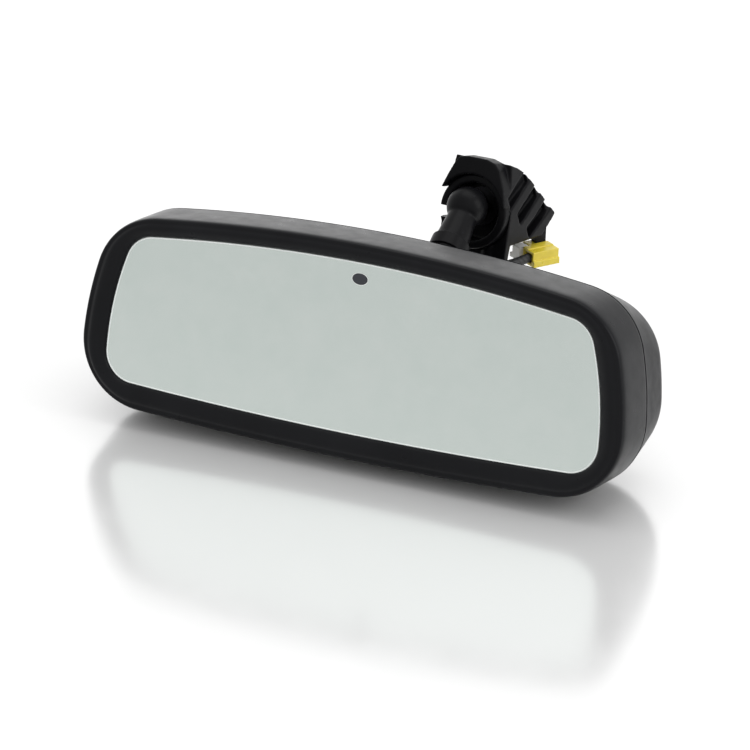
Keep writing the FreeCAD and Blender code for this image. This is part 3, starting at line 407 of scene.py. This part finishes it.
def ring_at(grow, depth, corner=None):
    """An outline ring at a depth. grow is a number or (side, top, bottom), in millimetres."""
    side, top, bottom = grow if isinstance(grow, tuple) else (grow, grow, grow)
    round_corner = GLASS_CORNER + side if corner is None else corner
    return [HEAD @ Vector((point.x * MM, depth * MM, point.y * MM))
            for point in outline(side, top, bottom, round_corner)]


def skin(rings, closed_loop=False, cap_first=False, cap_last=False):
    """Joins rings of equal length into points and faces."""
    count = len(rings[0])
    points = [point for ring in rings for point in ring]
    pairs = list(zip(range(len(rings)), range(1, len(rings))))
    if closed_loop:
        pairs.append((len(rings) - 1, 0))
    faces = [(a * count + i, a * count + (i + 1) % count, b * count + (i + 1) % count, b * count + i)
             for a, b in pairs for i in range(count)]
    if cap_first:
        faces.append(tuple(range(count)))
    if cap_last:
        faces.append(tuple((len(rings) - 1) * count + i for i in range(count)))
    return points, faces


# ------------------------------------------------------------------ bezel
def rim_grow(share, inset=0.0):
    """How far the outline has grown at a share of the way from the glass to the outer rim."""
    return tuple(RIM[key] * share - inset for key in ("side", "top", "bottom"))


def rim_corner(share):
    return GLASS_CORNER + (RIM_CORNER - GLASS_CORNER) * share


# One walk across the bezel's section: (share of the rim's width, depth in millimetres).
BEZEL_WALK = [
    (-0.02, 3.70), (0.00, 3.30), (0.02, 2.70), (0.06, 2.15), (0.14, 1.45), (0.24, 0.80), (0.33, 0.36),
    (0.41, 0.10), (0.47, 0.02), (0.53, 0.06), (0.59, 0.24), (0.65, 0.62), (0.70, 1.00), (0.745, 1.22),
    (0.785, 1.20), (0.82, 1.10), (0.85, 1.12), (0.885, 1.30), (0.915, 1.70), (0.94, 2.25),
    (0.958, 3.00), (0.970, 4.0), (0.978, 5.4), (0.985, 7.6), (0.990, 11.0), (0.995, 16.0),
    (0.999, 21.0), (1.0, 25.6), (0.998, 26.5), (0.985, 26.95),
]
BEZEL_WALL = 2.2


def make_bezel_skin():
    """The bezel's section swept round the head: its front walk, then back along its inner wall."""
    rings = [ring_at(rim_grow(share), depth, rim_corner(share)) for share, depth in BEZEL_WALK]
    inner = [(1.0, 27.0), (1.0, 20.0), (1.0, 10.0), (1.0, 5.2)]
    for share, depth in inner:
        rings.append(ring_at(rim_grow(share, BEZEL_WALL), depth, RIM_CORNER - BEZEL_WALL))
    rings.append(ring_at(2.9, 5.0))
    rings.append(ring_at(2.9, 3.74))
    points, faces = skin(rings, closed_loop=True)
    made = new_piece("bezel_skin", points, faces, BLACK_FRONT, "head")
    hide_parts("bezel")


# ------------------------------------------------------------------ glass
GLASS_DEPTH = 3.72        # the front glass's face, in millimetres behind the bezel's front
GLASS_FLAT = -40.0 / 3    # where the glass's middle panel starts, in from the opening
GLASS_WALK = [            # (growth from the opening, depth) from the middle panel round the glass's edge
    (GLASS_FLAT, GLASS_DEPTH), (-6.0, GLASS_DEPTH), (-0.9, GLASS_DEPTH), (1.6, 3.74), (2.5, 4.0),
    (2.58, 4.4), (2.5, 5.5),
]
HIGHLIGHT_WALK = [             # a pale painted highlight line just inside the opening, standing in for light along the bezel lip's inner edge
    (-0.75, 3.70), (-0.62, 3.60), (-0.30, 3.56), (-0.06, 3.60), (-0.06, 3.71), (-0.75, 3.715),
]
SENSOR_CENTRE = Vector((1.1, 0.0, 32.2))


def make_glass_face():
    """The front glass, drawn back to the node's own outline, and a painted highlight line just inside the
    opening.
    """
    rings = [ring_at(grow, depth) for grow, depth in GLASS_WALK]
    points, faces = skin(rings, cap_first=True, cap_last=True)
    made = new_piece("front_glass_face", points, faces, MIRROR, "head", smooth=False)
    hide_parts("front_glass")
    # A pale strip laid on the glass just inside the opening: a painted highlight.
    rings = [ring_at(grow, depth) for grow, depth in HIGHLIGHT_WALK]
    points, faces = skin(rings, closed_loop=True)
    new_piece("opening_highlight_line", points, faces, EDGE_HIGHLIGHT, "head")


def oval(half_wide, half_tall, depth, count=48):
    """An oval ring round the sensor window's centre."""
    centre = SENSOR_CENTRE
    return [HEAD @ (Vector((centre.x + half_wide * math.cos(2 * math.pi * i / count), depth,
                            centre.z + half_tall * math.sin(2 * math.pi * i / count))) * MM)
            for i in range(count)]


def make_sensor_window():
    rings = [oval(3.55, 2.45, 3.73), oval(3.55, 2.45, 3.60), oval(3.35, 2.27, 3.52), oval(3.0, 1.95, 3.55),
             oval(1.4, 0.9, 3.6)]
    points, faces = skin(rings, cap_first=True, cap_last=True)
    new_piece("sensor_window", points, faces, WINDOW, "head")
    # The rim ring round the window is painted pale: a painted highlight on its edge.
    rings = [oval(3.85, 2.75, 3.72), oval(3.82, 2.72, 3.58), oval(3.66, 2.56, 3.54), oval(3.56, 2.46, 3.60),
             oval(3.56, 2.46, 3.72)]
    points, faces = skin(rings, closed_loop=True)
    new_piece("sensor_window_rim", points, faces, EDGE_HIGHLIGHT, "head")


# ------------------------------------------------------------------ rear housing
SEAM_DEPTH = 27.5
BACK_DEPTH = 58.6
HOUSING_WALL = 2.2
BACK_INSET = {"side": 1.6, "top": 11.0, "bottom": 11.0}
BACK_ROUND = 14.0
CORNER_DRAW = 0.35      # how much of the inset the corner's radius loses
ARM_HOLE = (4.2, 13.8, 17.0)
LENS_HOLE = (34.0, 22.0, 3.15)


def housing_inset(key, wall, depth):
    """How far one side has drawn in at a depth: a leaning wall, then a quarter round to the back."""
    lean = math.atan2(BACK_INSET[key], BACK_DEPTH - SEAM_DEPTH)
    radius = BACK_ROUND - wall
    centre = BACK_DEPTH - BACK_ROUND
    touch = centre + radius * math.sin(lean)
    if depth <= touch:
        return (depth - SEAM_DEPTH) * math.tan(lean)
    at_touch = (touch - SEAM_DEPTH) * math.tan(lean)
    return at_touch + radius * math.cos(lean) - math.sqrt(max(0.0, radius ** 2 - (depth - centre) ** 2))


def housing_rings(wall):
    """Outline rings from the seam to the flat of the back."""
    radius = BACK_ROUND - wall
    centre = BACK_DEPTH - BACK_ROUND
    depths = [SEAM_DEPTH + (centre - SEAM_DEPTH) * step / 4 for step in range(4)]
    depths += [centre + radius * math.sin(math.radians(90.0 * step / 16)) for step in range(17)]
    rings = []
    for depth in depths:
        side, top, bottom = (housing_inset(key, wall, depth) for key in ("side", "top", "bottom"))
        grow = (RIM["side"] - wall - side, RIM["top"] - wall - top, RIM["bottom"] - wall - bottom)
        rings.append(ring_at(grow, depth, RIM_CORNER - wall - CORNER_DRAW * top))
    return rings


DRILL_LONG = 30.0


def drill(made, x, z, radius):
    """Cuts a round hole through the housing's back, whose flats are split into triangles for the cut."""
    mesh = bpy.data.meshes.new("drill")
    tool = bmesh.new()
    bmesh.ops.create_cone(tool, cap_ends=True, segments=96, radius1=radius * MM, radius2=radius * MM,
                          depth=DRILL_LONG * MM)
    tool.to_mesh(mesh)
    tool.free()
    bit = bpy.data.objects.new("drill", mesh)
    bpy.context.scene.collection.objects.link(bit)
    bit.matrix_world = HEAD @ Matrix.Translation(Vector((x, BACK_DEPTH, z)) * MM) @ Matrix.Rotation(
        math.pi / 2, 4, "X")
    made.modifiers.new("triangles", "TRIANGULATE")
    cutter = made.modifiers.new("cutter", "BOOLEAN")
    cutter.operation = "DIFFERENCE"
    cutter.solver = "MANIFOLD"
    cutter.object = bit
    made.modifiers.new("triangles_after", "TRIANGULATE")
    bpy.context.view_layer.update()
    apply_modifiers(made)
    bpy.data.objects.remove(bit)


def make_housing_shell():
    """Outer and inner walls with flat backs, joined at the seam, then drilled for the arm and the lens."""
    outer = housing_rings(0.0)
    inner = housing_rings(HOUSING_WALL)
    points, faces = skin(outer + inner[::-1])
    count = len(outer[0])
    back = len(outer) - 1
    faces = [face for face in faces if (face[0] // count, face[3] // count) != (back, back + 1)]
    faces.append(tuple(back * count + i for i in range(count)))
    faces.append(tuple((back + 1) * count + i for i in range(count)))
    lip = (len(outer) + len(inner) - 1) * count
    faces += [(lip + i, lip + (i + 1) % count, (i + 1) % count, i) for i in range(count)]
    made = new_piece("rear_housing_shell", points, faces, BLACK_REAR, "head", smooth=False)
    drill(made, *ARM_HOLE)
    drill(made, *LENS_HOLE)
    smooth_by_angle(made, 30.0)
    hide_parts("rear_housing")


def smooth_by_angle(made, degrees):
    """Smooth shading with the edges over an angle kept sharp."""
    made.data.shade_smooth()
    made.data.set_sharp_from_angle(angle=math.radians(degrees))


# ------------------------------------------------------------------ mount, arm and connector
SOFTENED = [
    # new piece, CAD node, voxel in millimetres, smoothing passes, look, body, slot
    ("mount_bracket_skin", "mount_bracket", 0.36, 16, BLACK_MOUNT, "mount", "mount_plastic"),
    ("retaining_ring_skin", "retaining_ring", 0.26, 8, BLACK_MOUNT, "mount", "mount_plastic"),
    ("arm_tube_skin", "arm_tube", 0.34, 12, BLACK_ARM, "arm", "mount_plastic"),
    ("arm_collar_skin", "arm_collar", 0.2, 4, BLACK_ARM, "arm", "mount_plastic"),
    ("connector_housing_skin", "connector_housing", 0.16, 4, YELLOW, "mount", "yellow_plastic"),
    ("connector_lock_skin", "connector_lock", 0.14, 5, WHITE, "plug_lock", "white_plastic"),
]


def make_softened():
    for entry in SOFTENED:
        softened(*entry)


# ------------------------------------------------------------------ stage, camera, lights
LENS = 216.0
DISTANCE = 1.89336
AIM = Vector((0.01167, -0.00868))
AZIMUTH = math.radians(24.73)
ELEVATION = math.radians(25.87)
FLOOR_GAP = 0.0003
FLOOR_REACH = 6.0
LIGHT_AIM = (0.0, -0.08, 0.0)


def make_camera():
    back = Vector((math.sin(AZIMUTH) * math.cos(ELEVATION), -math.cos(AZIMUTH) * math.cos(ELEVATION),
                   math.sin(ELEVATION)))
    right = Vector((math.cos(AZIMUTH), math.sin(AZIMUTH), 0.0))
    up = back.cross(right)
    data = bpy.data.cameras.new("camera")
    data.lens = LENS
    data.sensor_width = 36.0
    data.clip_start = 0.05
    data.clip_end = 50.0
    made = bpy.data.objects.new("camera", data)
    bpy.context.scene.collection.objects.link(made)
    place = HEAD.translation + right * AIM.x + up * AIM.y + back * DISTANCE
    made.matrix_world = Matrix.Translation(place) @ Matrix((right, up, back)).transposed().to_4x4()
    bpy.context.scene.camera = made


def make_floor():
    made, tree, shader = material("pale_floor")
    drift = spread(tree, noise(tree, 2.0, 3.0), 0.0, 1.0)
    tree.links.new(mix_colours(tree, drift, (0.91, 0.91, 0.91), (0.93, 0.93, 0.93)),
                   shader.inputs["Base Color"])
    tree.links.new(spread(tree, noise(tree, 30.0), 0.15, 0.20), shader.inputs["Roughness"])
    shader.inputs["Metallic"].default_value = 0.44
    low = cad_low.z - FLOOR_GAP
    reach = FLOOR_REACH
    mesh = bpy.data.meshes.new("floor")
    corners = [(-reach, -reach, low), (reach, -reach, low), (reach, reach, low), (-reach, reach, low)]
    mesh.from_pydata(corners, [], [(0, 1, 2, 3)])
    mesh.materials.append(made)
    floor = bpy.data.objects.new("floor", mesh)
    bpy.context.scene.collection.objects.link(floor)


def area_light(name, place, aim, size, power):
    data = bpy.data.lights.new(name, "AREA")
    data.shape = "RECTANGLE"
    data.size, data.size_y = size
    data.energy = power
    made = bpy.data.objects.new(name, data)
    bpy.context.scene.collection.objects.link(made)
    made.location = place
    made.rotation_euler = (Vector(place) - Vector(aim)).to_track_quat("Z", "Y").to_euler()


def make_lights():
    world = bpy.data.worlds.new("studio")
    world.use_nodes = True
    world.node_tree.nodes["Background"].inputs["Color"].default_value = (1.0, 1.0, 1.0, 1)
    world.node_tree.nodes["Background"].inputs["Strength"].default_value = 1.0
    bpy.context.scene.world = world
    area_light("overhead", (0.05, 0.25, 1.6), LIGHT_AIM, (1.6, 1.0), 9.0)
    area_light("low_back", (-0.75, 1.75, 0.22), LIGHT_AIM, (1.6, 0.5), 2.0)
    area_light("right_side", (1.5, 0.1, 0.7), LIGHT_AIM, (0.7, 1.2), 8.0)
    bpy.context.scene.view_settings.view_transform = "Standard"


make_bezel_skin()
make_glass_face()
make_sensor_window()
make_housing_shell()
make_softened()
make_camera()
make_floor()
make_lights()
